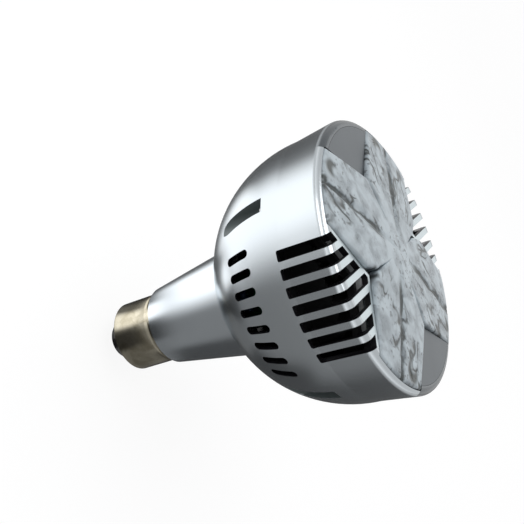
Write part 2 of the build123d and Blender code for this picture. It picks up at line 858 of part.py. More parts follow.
# Capacitors that stand against the board
bulk_z = core_z + core_height / 2 + bulk_lift
with BuildPart() as bulk_capacitor:
    with BuildSketch(Plane.XY.offset(bulk_z)):
        with Locations((-bulk_radius - glue_gap, board_face + bulk_radius + glue_gap)):
            Circle(bulk_radius)
    extrude(amount=bulk_length)
    fillet(bulk_capacitor.edges().filter_by(GeomType.CIRCLE), can_round)
bulk_capacitor.part.label = "bulk_capacitor"
export_step(bulk_capacitor.part, "parts/bulk_capacitor.step")

with BuildPart() as output_capacitor:
    with BuildSketch(Plane.XY.offset(bulk_z)):
        with Locations((output_radius + glue_gap, board_face + output_radius + glue_gap)):
            Circle(output_radius)
    extrude(amount=output_length)
    fillet(output_capacitor.edges().filter_by(GeomType.CIRCLE), can_round)
output_capacitor.part.label = "output_capacitor"
export_step(output_capacitor.part, "parts/output_capacitor.step")


def back_piece(size, place):
    """Box on the back of the driver board; place is across it and up from its foot."""
    width, depth, tall = size
    across, lift = place
    with Locations((across, -board_face - depth / 2, board_z + lift)):
        Box(width, depth, tall)


# Pieces on the back of the driver board
with BuildPart() as film_capacitor:
    back_piece(film_size, film_place)
    fillet(film_capacitor.edges().filter_by(Axis.Y), film_round)
film_capacitor.part.label = "film_capacitor"
export_step(film_capacitor.part, "parts/film_capacitor.step")

with BuildPart() as bridge_rectifier:
    back_piece(bridge_size, bridge_place)
    chamfer(bridge_rectifier.faces().sort_by(Axis.Y)[0].edges(), body_chamfer)
bridge_rectifier.part.label = "bridge_rectifier"
export_step(bridge_rectifier.part, "parts/bridge_rectifier.step")

with BuildPart() as driver_chip:
    back_piece(chip_body_size, chip_body_place)
    chamfer(driver_chip.faces().sort_by(Axis.Y)[0].edges(), body_chamfer)
driver_chip.part.label = "driver_chip"
export_step(driver_chip.part, "parts/driver_chip.step")

with BuildPart() as choke:
    with BuildSketch(Plane.XZ.offset(board_face)):
        with Locations((choke_place[0], board_z + choke_place[1])):
            Circle(choke_radius)
    extrude(amount=choke_depth)
    fillet(choke.faces().sort_by(Axis.Y)[0].edges(), choke_round)
choke.part.label = "choke"
export_step(choke.part, "parts/choke.step")

with BuildPart() as fuse_resistor:
    with BuildSketch(Plane.YZ.offset(-fuse_length / 2)):
        with Locations((-board_face - fuse_radius - glue_gap, board_z + fuse_lift)):
            Circle(fuse_radius)
    extrude(amount=fuse_length)
    fillet(fuse_resistor.edges().filter_by(GeomType.CIRCLE), fuse_round)
fuse_resistor.part.label = "fuse_resistor"
export_step(fuse_resistor.part, "parts/fuse_resistor.step")

# Leads: to the centre contact, to the shell, to the plate and to the fan
wire_y = board_face + glue_gap + wire_radius
rivet_top_z = insulator_z + insulator_wall
with BuildPart() as contact_lead:
    with BuildSketch(Plane.XY.offset(rivet_top_z)):
        with Locations((0, wire_y)):
            Circle(wire_radius)
    extrude(amount=board_z + cap_lead_overlap - rivet_top_z)
contact_lead.part.label = "contact_lead"
export_step(contact_lead.part, "parts/contact_lead.step")

shell_inner_radius = shell_radius - shell_wall
shell_lead_reach = sqrt(shell_inner_radius**2 - (wire_y + wire_radius) ** 2) - glue_gap
with BuildPart() as shell_lead:
    round_wire(
        [
            (shell_lead_x, wire_y, board_z + cap_lead_overlap),
            (shell_lead_x, wire_y, shell_lead_z),
            (-shell_lead_reach, wire_y, shell_lead_z),
        ],
        wire_bend,
    )
shell_lead.part.label = "shell_lead"
export_step(shell_lead.part, "parts/shell_lead.step")

board_top_z = board_z + board_height
lead_exit_z = board_top_z + plate_lead_lift
plate_apex = facet_apex - (sink_gap + plate_inset) / sin(radians(facet_half_angle))
plate_mid_z = sink_top_z + plate_thickness / 2
lead_x = board_width / 2 - 4 * wire_radius
with BuildPart() as led_leads:
    for side in (-1, 1):
        round_wire(
            [
                (side * lead_x, wire_y, board_top_z - plate_lead_overlap),
                (side * lead_x, wire_y, lead_exit_z),
                (side * led_lead_reach, 0, lead_exit_z + plate_lead_rise),
                (side * led_lead_reach, 0, plate_mid_z),
                (side * (plate_apex + wire_radius), 0, plate_mid_z),
            ],
            [wire_bend, wire_bend, wire_end_bend],
        )
led_leads.part.label = "led_leads"
export_step(led_leads.part, "parts/led_leads.step")

with BuildPart() as fan_lead:
    round_wire(
        [
            (0, wire_y, board_top_z - fan_lead_overlap),
            (0, wire_y, board_top_z + fan_lead_lift),
            (0, fan_lead_reach, board_top_z + fan_lead_lift + fan_lead_rise),
            (0, fan_lead_reach, fan_z + fan_height / 2),
        ],
        wire_bend,
    )
fan_lead.part.label = "fan_lead"
export_step(fan_lead.part, "parts/fan_lead.step")
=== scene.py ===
# %% [markdown]
# # A fan-cooled reflector lamp
# The measured solids of the lamp come in first and are never moved. This lesson dresses them:
# it gives every piece its finish and makes again the two pieces whose look is finer than a plain
# solid, the threaded cap and the petal lens. All sizes are in metres.

# %% Load the solids
import bpy
import bmesh
from math import atan2, cos, pi, radians, sin, sqrt, tan
from mathutils import Matrix, Vector


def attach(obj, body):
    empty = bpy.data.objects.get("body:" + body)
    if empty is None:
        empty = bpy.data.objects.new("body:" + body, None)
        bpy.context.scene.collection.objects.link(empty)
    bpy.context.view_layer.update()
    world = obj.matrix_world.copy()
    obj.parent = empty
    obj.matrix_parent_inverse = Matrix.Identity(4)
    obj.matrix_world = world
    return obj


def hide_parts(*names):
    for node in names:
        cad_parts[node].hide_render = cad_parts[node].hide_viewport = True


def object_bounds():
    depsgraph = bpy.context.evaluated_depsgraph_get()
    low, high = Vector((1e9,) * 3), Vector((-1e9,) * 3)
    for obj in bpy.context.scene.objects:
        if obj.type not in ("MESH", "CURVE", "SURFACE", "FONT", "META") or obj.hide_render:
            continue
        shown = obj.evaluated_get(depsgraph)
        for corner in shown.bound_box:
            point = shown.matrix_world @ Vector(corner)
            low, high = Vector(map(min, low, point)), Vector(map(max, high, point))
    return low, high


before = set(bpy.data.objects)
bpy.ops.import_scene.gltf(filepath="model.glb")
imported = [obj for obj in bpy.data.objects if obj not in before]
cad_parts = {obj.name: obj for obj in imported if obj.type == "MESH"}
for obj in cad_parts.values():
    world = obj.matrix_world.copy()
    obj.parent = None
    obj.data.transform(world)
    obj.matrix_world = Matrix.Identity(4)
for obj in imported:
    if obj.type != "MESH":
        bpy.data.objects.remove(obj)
cad_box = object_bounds()
scene = bpy.context.scene
scene.view_settings.view_transform = "Standard"
print("solids loaded:", len(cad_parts), "pieces, box", cad_box)

# %% [markdown]
# ## Camera
# The lamp lies across the picture, cap to the left. Its axis is upright in this file, so the
# camera is rolled instead: the picture's right-hand side is close to the lamp's +Z. Three unit
# vectors, right, up and forward, are all that a camera's matrix needs.

# %% Camera
camera_place = Vector((-0.0434, -0.2637, 0.2053))
camera_right = Vector((0.3770, 0.4020, 0.8344)).normalized()
camera_forward = Vector((0.1063, 0.8762, -0.4702)).normalized()
camera_up = camera_right.cross(camera_forward)

sensor_width = 36.0
picture_width = 524
focal_pixels = 850

camera_data = bpy.data.cameras.new("camera")
camera_data.sensor_width = sensor_width
camera_data.lens = sensor_width * focal_pixels / picture_width
camera_data.clip_start = 0.01
camera = bpy.data.objects.new("camera", camera_data)
turn = Matrix((camera_right, camera_up, -camera_forward)).transposed()
camera.matrix_world = Matrix.Translation(camera_place) @ turn.to_4x4()
scene.collection.objects.link(camera)
scene.camera = camera
print("camera lens:", round(camera_data.lens, 1), "mm")

# %% [markdown]
# ## Shader arithmetic
# A finish is a small sum: a base colour, plus a little noise, times a mask. This class wraps one
# socket, so the sum can be written as Python, and each operator adds its own Math node.


# %% Shader arithmetic
class Signal:
    """One output socket of a node tree."""

    def __init__(self, tree, socket):
        self.tree = tree
        self.socket = socket

    def make(self, kind, settings=None, sockets=None, output=0):
        """Adds a node: settings first, then values or links for its sockets."""
        node = self.tree.nodes.new(kind)
        for key, value in (settings or {}).items():
            setattr(node, key, value)
        for key, value in (sockets or {}).items():
            plug(self.tree, node.inputs[key], value)
        return Signal(self.tree, node.outputs[output])

    def math(self, operation, first, second=0.0):
        return self.make("ShaderNodeMath", {"operation": operation}, {0: first, 1: second})

    def __add__(self, other):
        return self.math("ADD", self, other)

    def __sub__(self, other):
        return self.math("SUBTRACT", self, other)

    def __mul__(self, other):
        return self.math("MULTIPLY", self, other)

    def __truediv__(self, other):
        return self.math("DIVIDE", self, other)

    def __rsub__(self, other):
        return self.math("SUBTRACT", other, self)

    __radd__ = __add__
    __rmul__ = __mul__

    def part(self, axis):
        """One coordinate of a vector: 0, 1 or 2."""
        return self.make("ShaderNodeSeparateXYZ", {}, {0: self}, output=axis)

    def size(self):
        return self.math("ABSOLUTE", self)

    def above(self, other):
        """The greater of the two."""
        return self.math("MAXIMUM", self, other)

    def vector(self, x, y, z=0.0):
        return self.make("ShaderNodeCombineXYZ", {}, {0: x, 1: y, 2: z})

    def reach(self, x, y, z=0.0):
        """Length of the vector with these coordinates."""
        vector = self.vector(x, y, z)
        settings = {"operation": "LENGTH"}
        return self.make("ShaderNodeVectorMath", settings, {0: vector}, output="Value")

    def noise(self, scale, detail=3.0, distortion=0.0):
        return self.make(
            "ShaderNodeTexNoise",
            {},
            {"Vector": self, "Scale": scale, "Detail": detail, "Distortion": distortion},
        )

    def rise(self, low, high):
        """0 below low, 1 above high and smooth between."""
        return self.make(
            "ShaderNodeMapRange",
            {"interpolation_type": "SMOOTHSTEP"},
            {"Value": self, "From Min": low, "From Max": high},
        )

    def between(self, colour_a, colour_b):
        """Mixes two colours with this signal as the factor."""
        return self.make(
            "ShaderNodeMix",
            {"data_type": "RGBA"},
            {0: self, 6: colour_a, 7: colour_b},
            output=2,
        )

    def bump(self, depth):
        return self.make("ShaderNodeBump", {}, {"Height": self, "Distance": depth})


def plug(tree, socket, value):
    """Sets a socket to a number or colour, or links a signal to it."""
    if isinstance(value, Signal):
        tree.links.new(value.socket, socket)
    elif isinstance(value, tuple) and len(value) == 3 and socket.type == "RGBA":
        socket.default_value = (*value, 1.0)
    else:
        socket.default_value = value


def new_finish(name):
    """Material with its shader and a signal of Object coordinates."""
    material = bpy.data.materials.new(name)
    material.use_nodes = True
    tree = material.node_tree
    shader = tree.nodes["Principled BSDF"]
    place = tree.nodes.new("ShaderNodeTexCoord").outputs["Object"]
    return material, shader, Signal(tree, place)


def dress(shader, tree, **values):
    """Sets the shader's sockets; an underscore stands for a space."""
    for key, value in values.items():
        plug(tree, shader.inputs[key.replace("_", " ")], value)


print("shader arithmetic ready")

# %% [markdown]
# ## Satin silver
# The housing and the neck have a fine satin surface: bright, but with soft reflections. A fine
# noise moves the roughness a little and a very shallow bump breaks up the highlight. Inside, and
# on the walls of its slots, the housing is black and the four screw pockets are grey: painted
# shade, so that the vents read as dark lines. The mask for that is a measure of depth: a point
# counts as skin only where it lies on the outer surface, which is a sphere below, a flared cone
# above it and a rounded lip at the top. The lip is a darker grey, a painted dark reflection, and
# beside the plain front plates it takes their painted dark grey. The neck's silver is paler than
# the housing's, as painted light, and its bore and its top inside the housing are black, as
# painted shade.

# %% Housing sizes
dome_radius = 0.0458
dome_centre = 0.093905
rim_radius = 0.0475
rim_z = 0.110105
rim_round = 0.0024
rim_flare = (rim_radius - dome_radius) / (rim_z - dome_centre)
lip_radius = rim_radius - rim_round * (rim_flare + sqrt(1 + rim_flare**2))
skin_depth = 0.00015
mask_blend = 0.0001
pocket_half = 0.0050
pocket_blend = 0.0005
plain_slope = 0.52
plain_blend = 0.0003
neck_foot = 0.0180
neck_length = 0.0348
neck_foot_radius = 0.0147
neck_head_radius = 0.0201
neck_skin = 0.0010
neck_top = neck_foot + neck_length + mask_blend
neck_slope = (neck_head_radius - neck_foot_radius) / neck_length
print("lip radius:", round(lip_radius, 5), "neck top:", round(neck_top, 4))

# %% Satin silver


def satin(shader, place, colour, roughness):
    """Satin metal: fine grain in its gloss and surface, slow clouds in its colour."""
    grain = place.noise(2600.0, 2.0)
    cloud = place.noise(60.0, 2.0)
    dress(
        shader,
        place.tree,
        Base_Color=colour,
        Metallic=1.0,
        Roughness=grain * 0.05 + cloud * 0.05 + (roughness - 0.05),
        Normal=grain.bump(0.0000015),
    )


def cover(material, *nodes):
    """Gives carried-over solids their finish."""
    for node in nodes:
        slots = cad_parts[node].data.materials
        slots.clear()
        slots.append(material)
    print(material.name, "on", ", ".join(nodes))


def at_skin(depth):
    """1 where a measure of depth says outer surface, 0 below it."""
    return depth.rise(-skin_depth, -skin_depth / 3)


silver = (0.68, 0.73, 0.76)
silver_cloud = (0.64, 0.69, 0.73)
# Painted light: the neck's silver is paler than the housing's, for its bright highlight.
neck_lit_silver = (0.80, 0.86, 0.90)
neck_lit_cloud = (0.76, 0.82, 0.87)
# Painted dark reflection: the dark grey of the plain front plates.
plain_dark_reflection = (0.086, 0.096, 0.104)
# Painted dark reflection: the darker grey of the rim's lip.
lip_dark_reflection = (0.40, 0.43, 0.45)
# Painted shade: a shaded grey for the screw pockets and black for the inside and the slot walls.
pocket_shade_grey = (0.16, 0.19, 0.19)
shade_black = (0.010, 0.010, 0.012)

housing_silver, shader, place = new_finish("housing_silver")
x, y, z = place.part(0), place.part(1), place.part(2)
axis_distance = place.reach(x, y)
dome_depth = place.reach(x, y, z - dome_centre) - dome_radius
side_depth = axis_distance - (z - dome_centre) * rim_flare - dome_radius
lip = place.reach((axis_distance - lip_radius).above(0.0), (z - (rim_z - rim_round)).above(0.0))
on_dome = at_skin(dome_depth) * (1 - z.rise(dome_centre, dome_centre + mask_blend))
on_side = at_skin(side_depth) * z.rise(dome_centre - mask_blend, dome_centre)
on_lip = at_skin(lip - rim_round)
skin = on_dome.above(on_side).above(on_lip)
diagonal = (x.size() - y.size()).size()
by_pocket = 1 - diagonal.rise(pocket_half - pocket_blend, pocket_half + pocket_blend)
# Painted shade: black inside the housing and on its slot walls, a shaded grey in the screw pockets.
inside = by_pocket.between(shade_black, pocket_shade_grey)
cloud = place.noise(60.0, 2.0)
# Painted dark reflection: beside the plain plates the lip takes their dark grey.
beside_plain = (x.size() * plain_slope - y.size()).rise(-plain_blend, plain_blend)
over_plain = beside_plain * z.rise(rim_z - rim_round, rim_z - rim_round / 2)
# Painted dark reflection: the top of the lip is a darker grey than the housing.
on_top = z.rise(rim_z - rim_round * 0.8, rim_z - rim_round * 0.3)
metal = on_top.between(cloud.between(silver, silver_cloud), lip_dark_reflection)
outside = over_plain.between(metal, plain_dark_reflection)
satin(shader, place, skin.between(inside, outside), 0.23)
dress(shader, place.tree, Metallic=skin)
cover(housing_silver, "dome_housing")

neck_silver, shader, place = new_finish("neck_silver")
z = place.part(2)
axis_distance = place.reach(place.part(0), place.part(1))
neck_depth = axis_distance - (z - neck_foot) * neck_slope - neck_foot_radius
above_foot = z.rise(neck_foot, neck_foot + neck_skin / 2)
# Painted shade: the neck's bore and its top inside the housing are black.
in_bore = (1 - neck_depth.rise(-neck_skin, -neck_skin * 0.8)) * above_foot
hidden = z.rise(neck_top, neck_top + mask_blend).above(in_bore)
cloud = place.noise(60.0, 2.0)
# Painted light: the neck is a paler silver than the housing.
neck_metal = cloud.between(neck_lit_silver, neck_lit_cloud)
satin(shader, place, hidden.between(neck_metal, shade_black), 0.21)
dress(shader, place.tree, Metallic=1 - hidden)
cover(neck_silver, "neck_housing")

# %% [markdown]
# ## Front plates
# Four V-shaped plates fill the gaps between the lens petals. The two slotted ones are pale satin
# metal, and black inside their slots as painted shade. The two plain ones are a darker grey, a
# painted dark reflection. All four are one solid in the frame, so the colour is chosen by place: a
# point whose x is larger than its y, signs aside, lies on a plain plate.

# %% Front plates
facet_satin, shader, place = new_finish("facet_satin")
x, y, z = place.part(0), place.part(1), place.part(2)
plain = (x.size() - y.size()).rise(-0.0002, 0.0002)
cloud = place.noise(90.0, 3.0)
pale = cloud.between((0.44, 0.49, 0.51), (0.54, 0.60, 0.62))
# Painted dark reflection: the plain plates are a dark grey.
dark = cloud.between(plain_dark_reflection, tuple(c * 1.15 for c in plain_dark_reflection))
# Painted shade: below the front face, inside the slots, the plates are black.
front = z.rise(rim_z - skin_depth, rim_z - skin_depth / 3)
satin(shader, place, front.between(shade_black, plain.between(pale, dark)), 0.38)
dress(shader, place.tree, Metallic=front)
cover(facet_satin, "front_facets")

# %% [markdown]
# ## Threaded cap
# The cap is rolled from thin plated sheet, so its thread is a soft wave with no sharp edge. A wave
# that climbs as it goes round is a rule, and Geometry Nodes can follow it: a flat grid is bent
# into a tube, and each point's radius comes from its height and its angle. The lower end tapers to
# the black insulator.

# %% Plated brass
cap_metal, cap_shader, place = new_finish("cap_metal")
stain = place.noise(130.0, 4.0, 0.6)
scratch = place.noise(900.0, 2.0)
dress(
    cap_shader,
    place.tree,
    Base_Color=stain.rise(0.35, 0.70).between((0.70, 0.65, 0.52), (0.42, 0.38, 0.28)),
    Metallic=1.0,
    Roughness=stain * 0.14 + scratch * 0.06 + 0.06,
    Normal=stain.bump(0.00006),
)

# %% Thread as a rule
cap_radius = 0.0131
cap_length = 0.0180
cap_taper = 0.0034
cap_tip_radius = 0.0094
thread_pitch = 0.00362
thread_depth = 0.00045
thread_run_in = (0.0008, 0.0030)
thread_run_out = (-0.0012, -0.0036)
cap_wall = 0.0004
points_around = 97
points_along = 150


def group_with(name, **sizes):
    """Geometry Nodes tree with named number inputs; gives the tree, its inputs and its output."""
    tree = bpy.data.node_groups.new(name, "GeometryNodeTree")
    tree.interface.new_socket("Geometry", in_out="OUTPUT", socket_type="NodeSocketGeometry")
    for title in sizes:
        tree.interface.new_socket(title, in_out="INPUT", socket_type="NodeSocketFloat")
    entry = tree.nodes.new("NodeGroupInput")
    exit_node = tree.nodes.new("NodeGroupOutput")
    inputs = {title: Signal(tree, entry.outputs[title]) for title in sizes}
    return tree, inputs, exit_node


def grow(name, tree, sizes):
    """Runs a tree on an empty object and keeps its result as a plain mesh at the origin."""
    seed = bpy.data.objects.new(name + "_seed", bpy.data.meshes.new(name + "_seed"))
    scene.collection.objects.link(seed)
    modifier = seed.modifiers.new("grow", "NODES")
    modifier.node_group = tree
    for item in tree.interface.items_tree:
        if item.in_out == "INPUT":
            modifier[item.identifier] = sizes[item.name]
    graph = bpy.context.evaluated_depsgraph_get()
    mesh = bpy.data.meshes.new_from_object(seed.evaluated_get(graph))
    seed.modifiers.clear()
    bpy.data.objects.remove(seed)
    mesh.name = name
    piece = bpy.data.objects.new(name, mesh)
    scene.collection.objects.link(piece)
    print(name, "has", len(mesh.polygons), "faces")
    return piece


cap_sizes = {
    "Radius": cap_radius,
    "Length": cap_length,
    "Taper": cap_taper,
    "Tip Radius": cap_tip_radius,
    "Pitch": thread_pitch,
    "Depth": thread_depth,
}
tree, size, exit_node = group_with("rolled_thread", **cap_sizes)
start = size["Radius"]
grid = start.make(
    "GeometryNodeMeshGrid",
    {},
    {"Size X": 1.0, "Size Y": 1.0, "Vertices X": points_around, "Vertices Y": points_along},
)
position = start.make("GeometryNodeInputPosition")
split = start.make("ShaderNodeSeparateXYZ", {}, {0: position})
around = split + 0.5
along = Signal(tree, split.socket.node.outputs[1]) + 0.5
height = along * (size["Length"] + size["Taper"]) - size["Taper"]
wave = start.math("COSINE", (height / size["Pitch"] - around) * (2 * pi)) * 0.5 - 0.5
low_end = height.rise(*thread_run_in)
high_end = (height - size["Length"]).rise(*thread_run_out)
below = start.math("MINIMUM", height, 0.0)
taper = below * (size["Radius"] - size["Tip Radius"]) / size["Taper"]
radius = size["Radius"] + taper + wave * size["Depth"] * low_end * (1 - high_end)
angle = around * (2 * pi)
bent = start.make(
    "ShaderNodeCombineXYZ",
    {},
    {
        0: radius * start.math("COSINE", angle),
        1: radius * start.math("SINE", angle),
        2: height,
    },
)
tube = start.make("GeometryNodeSetPosition", {}, {"Geometry": grid, "Position": bent})
tube = start.make("GeometryNodeMergeByDistance", {}, {"Geometry": tube, "Distance": 0.00001})
tube = start.make("GeometryNodeSetShadeSmooth", {}, {"Geometry": tube})
tube = start.make("GeometryNodeRealizeInstances", {}, {"Geometry": tube})
tube = start.make("GeometryNodeSetMaterial", {}, {"Geometry": tube, "Material": cap_metal})
tree.links.new(tube.socket, exit_node.inputs["Geometry"])
cap = grow("threaded_cap", tree, cap_sizes)
sheet = cap.modifiers.new("sheet", "SOLIDIFY")
sheet.thickness = cap_wall
sheet.offset = -1.0
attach(cap, "lamp_body")
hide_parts("screw_shell")

# %% [markdown]
# ## Petal lens
# The lens is one milky moulding of four petals that run together at the centre. Each petal is a
# sheet of points in rows of growing radius. A row runs from one facet's edge to the next, so the
# sheet takes the petal's outline by itself. Near the centre the rows of two petals meet and their
# points are merged; further out a seam parts them. The edge is rounded and goes down to the seat.
# At the tip of each slotted plate the seam widens into a small hole.

# %% Petal outline
lens_radius = 0.04568
lens_seat = rim_z - 0.0020
lens_edge = rim_z + 0.0002
lens_crown = rim_z + 0.0026
facet_apex = 0.0260
facet_half = radians(54)
facet_gap = 0.0003
seam_start = 0.0090
seam_half = 0.0003
hole_start = 0.0205
hole_end = 0.0280
hole_half = 0.0030


def facet_angle(radius, has_hole):
    """Angle from the middle of a facet to the petal's edge at a radius."""
    apex = facet_apex - facet_gap / sin(facet_half)
    edge = 0.0
    if radius > seam_start:
        edge = seam_half * min(1, (radius - seam_start) / seam_start)
    if radius > apex:
        slope = 1 / tan(facet_half)
        square = 1 + slope**2
        edge = (sqrt((apex * slope) ** 2 - square * (apex**2 - radius**2)) - apex * slope) / square
    if has_hole and hole_start < radius < hole_end:
        edge = max(edge, hole_half * (radius - hole_start) / (hole_end - hole_start))
    return atan2(edge, sqrt(radius**2 - edge**2))


rows = 72
columns = 56
round_edge = 0.0011
lobe_height = 0.0008
groove_half = 0.0042
groove_end = 0.0200
sagitta = lens_crown - lens_edge
crown_radius = (lens_radius**2 + sagitta**2) / (2 * sagitta)


def lens_height(radius, across, margin):
    """Height of the lens: a shallow crown, two lobes with a groove between, a rounded edge."""
    crown = lens_crown - lobe_height - (crown_radius - sqrt(crown_radius**2 - radius**2))
    by_groove = max(0, 1 - abs(across) * radius / groove_half) ** 2
    lobe = lobe_height * (1 - min(1, radius / groove_end) * by_groove)
    inside = min(1, margin / round_edge)
    return crown + lobe - round_edge * (1 - sqrt(1 - (1 - inside) ** 2))


def petal(mesh, quarter):
    """Adds one petal to a bmesh, closed wherever it has an edge of its own."""
    top, base, parted = [], [], []
    for i in range(rows + 1):
        radius = lens_radius * sin(pi / 2 * i / rows)
        low = facet_angle(radius, quarter % 2 == 1)
        high = pi / 2 - facet_angle(radius, quarter % 2 == 0)
        parted.append(radius > seam_start)
        top_row, base_row = [], []
        for j in range(columns + 1):
            across = sin(pi / 2 * (2 * j / columns - 1))
            turn = quarter * pi / 2 + low + (high - low) * (across + 1) / 2
            side = (1 - abs(across)) * (high - low) / 2 * radius
            if radius < 2 * seam_start:
                side += round_edge * min(1, 2 - radius / seam_start)
            height = lens_height(radius, across, min(side, lens_radius - radius))
            spot = (radius * cos(turn), radius * sin(turn))
            top_row.append(mesh.verts.new((*spot, height)))
            base_row.append(mesh.verts.new((*spot, lens_seat)))
        top.append(top_row)
        base.append(base_row)
    for i in range(rows):
        for j in range(columns):
            mesh.faces.new((top[i][j], top[i + 1][j], top[i + 1][j + 1], top[i][j + 1]))
            mesh.faces.new((base[i][j], base[i][j + 1], base[i + 1][j + 1], base[i + 1][j]))
        if parted[i + 1]:
            mesh.faces.new((top[i][0], base[i][0], base[i + 1][0], top[i + 1][0]))
            mesh.faces.new((top[i][-1], top[i + 1][-1], base[i + 1][-1], base[i][-1]))
    for j in range(columns):
        mesh.faces.new((top[-1][j], base[-1][j], base[-1][j + 1], top[-1][j + 1]))


def new_piece(name, mesh, material):
    """Turns a bmesh into a smooth object that rides on the lamp."""
    bmesh.ops.remove_doubles(mesh, verts=mesh.verts, dist=0.000001)
    bmesh.ops.recalc_face_normals(mesh, faces=mesh.faces)
    for face in mesh.faces:
        face.smooth = True
    data = bpy.data.meshes.new(name)
    mesh.to_mesh(data)
    mesh.free()
    data.materials.append(material)
    piece = bpy.data.objects.new(name, data)
    scene.collection.objects.link(piece)
    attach(piece, "lamp_body")
    print(name, "has", len(data.polygons), "faces")
    return piece


# %% [markdown]
# ## Frosted lens finish
# Light scatters in the moulding, so the lens looks pale and milky, with darker veins where the
# optics behind it meet. A vein is the line where a noise passes its middle value. The noise lives
# on a stretched space, the direction from the axis and the distance along it, so the veins run
# outwards. Each petal also shows a faint ring over one lamp chip and a dark crescent near its end.
# Around the small hole at the tip of each slotted plate the lens is painted dark, as the hole's shade.

# %% Frosted lens finish
eye_x, eye_y = 0.0343, 0.0236
lid_x, lid_y = eye_x - 0.0024, eye_y - 0.0012
ring_place = 0.0258
ring_radius = 0.0018
hole_shade_place = 0.0236
milk_dull, milk_pale = (0.34, 0.39, 0.42), (0.60, 0.68, 0.72)
streak_grey = (0.22, 0.25, 0.27)
vein_dark = (0.035, 0.040, 0.036)
ring_grey = (0.13, 0.15, 0.16)
speck_grey = (0.08, 0.09, 0.10)
crescent_dark = (0.035, 0.040, 0.032)

lens_frost, lens_shader, place = new_finish("lens_frost")
x, y = place.part(0), place.part(1)
reach = place.reach(x, y)
radial = place.vector(x / reach, y / reach, reach * 16.0)
streak = radial.noise(5.5, 3.0, 0.4)
vein_noise = radial.noise(3.6, 2.0, 0.35)
patch = place.noise(75.0, 2.0)
mottle = place.noise(170.0, 3.0, 0.2)
fine = place.noise(1100.0, 2.0)
outwards = reach.rise(0.008, 0.016)
vein = (1 - (vein_noise - 0.5).size().rise(0.004, 0.040)) * patch.rise(0.46, 0.60) * outwards
groove = (x.size() - y.size() + (streak - 0.5) * 0.010 + (mottle - 0.5) * 0.003).size()
groove = (1 - groove.rise(0.0006, 0.0024)) * outwards * mottle.rise(0.28, 0.46)
vein = vein.above(groove)
speck = place.noise(620.0, 1.0).rise(0.58, 0.68) * patch.rise(0.42, 0.56)
soft = streak.rise(0.36, 0.66) * outwards
eye = place.reach(x.size() - eye_x, y.size() - eye_y)
lid = place.reach(x.size() - lid_x, y.size() - lid_y)
crescent = (1 - eye.rise(0.0020, 0.0040)) * lid.rise(0.0012, 0.0034)
ring_spot = place.reach(x.size() - ring_place, y.size() - ring_place)
ring = 1 - (ring_spot - ring_radius).size().rise(0.0002, 0.0009)
# Painted shade: the lens is dark around the small hole at each slotted plate's tip.
hole_shade = 1 - place.reach(x * 0.8, y.size() - hole_shade_place).rise(0.0008, 0.0020)
milk = mottle.rise(0.32, 0.60).between(milk_dull, milk_pale)
milk = (soft * 0.30).between(milk, streak_grey)
milk = (vein.above(hole_shade) * 0.92).between(milk, vein_dark)
milk = (ring * 0.55).between(milk, ring_grey)
milk = (speck * 0.6).between(milk, speck_grey)
dress(
    lens_shader,
    place.tree,
    Base_Color=(crescent * 0.9).between(milk, crescent_dark),
    Roughness=fine * 0.2 + mottle * 0.2 + 0.12,
    Specular_IOR_Level=0.25,
    Normal=(mottle * 0.5 + fine * 0.15 - vein * 0.7 - crescent * 0.6).bump(0.0003),
)

mesh = bmesh.new()
for quarter in range(4):
    petal(mesh, quarter)
lens = new_piece("petal_lens", mesh, lens_frost)
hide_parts("front_lens")

# %% [markdown]
# ## Inner finishes
# Little of the inside shows, but the slots and a turned view give glimpses of it. Each finish is
# one call: a colour, a roughness, how metallic it is, and the size of its grain.

# %% Inner finishes


def grained(name, colour, roughness, metallic=0.0, scale=600.0, depth=0.00003):
    """Finish with a grain that moves its colour, gloss and surface a little."""
    material, shader, place = new_finish(name)
    grain = place.noise(scale, 3.0)
    darker = tuple(c * 0.85 for c in colour)
    paler = tuple(min(1, c * 1.12) for c in colour)
    dress(
        shader,
        place.tree,
        Base_Color=grain.between(darker, paler),
        Metallic=metallic,
        Roughness=grain * 0.2 + (roughness - 0.1),
        Normal=grain.bump(depth),
    )
    return material


cover(grained("insulator_black", (0.03, 0.03, 0.03), 0.25), "cap_insulator")
cover(grained("contact_tin", (0.62, 0.58, 0.48), 0.35, 1.0, 900.0), "centre_contact")
cover(grained("sink_black", (0.02, 0.02, 0.022), 0.45, 0.6), "heat_sink")
cover(grained("plate_white", (0.70, 0.72, 0.73), 0.45), "led_plate")
cover(grained("chip_yellow", (0.75, 0.62, 0.16), 0.5, 0.0, 1500.0), "led_chips")
steel = grained("screw_steel", (0.50, 0.50, 0.51), 0.35, 1.0, 1500.0)
cover(steel, "plate_screws", "fan_shaft", "fan_stator", "housing_screws")
cover(grained("screw_black", (0.02, 0.02, 0.021), 0.4, 0.5, 1500.0), "neck_screws", "fan_screws")
cover(grained("fan_black", (0.015, 0.015, 0.017), 0.5), "fan_baffle", "fan_frame", "fan_rotor")
cover(grained("bearing_bronze", (0.45, 0.30, 0.14), 0.5, 1.0, 3000.0), "fan_bearing")
ferrite = grained("ferrite", (0.05, 0.05, 0.055), 0.6, 0.0, 2000.0)
cover(ferrite, "fan_magnet_ring", "transformer_core", "choke")
cover(grained("copper", (0.60, 0.28, 0.13), 0.35, 1.0, 2500.0), "fan_coils")
cover(grained("board_green", (0.02, 0.16, 0.06), 0.4, 0.0, 300.0), "driver_board", "fan_circuit_board")
cover(grained("tape_yellow", (0.70, 0.52, 0.06), 0.35), "transformer_winding")
cover(grained("can_sleeve", (0.03, 0.04, 0.08), 0.3), "bulk_capacitor", "output_capacitor")
cover(grained("film_red", (0.40, 0.05, 0.03), 0.3), "film_capacitor")
cover(grained("chip_black", (0.02, 0.02, 0.02), 0.55, 0.0, 2500.0), "bridge_rectifier", "driver_chip")
cover(grained("fuse_blue", (0.10, 0.20, 0.40), 0.35), "fuse_resistor")
cover(grained("wire_red", (0.45, 0.03, 0.03), 0.45), "led_leads")
cover(grained("wire_black", (0.02, 0.02, 0.02), 0.45), "contact_lead", "shell_lead", "fan_lead")
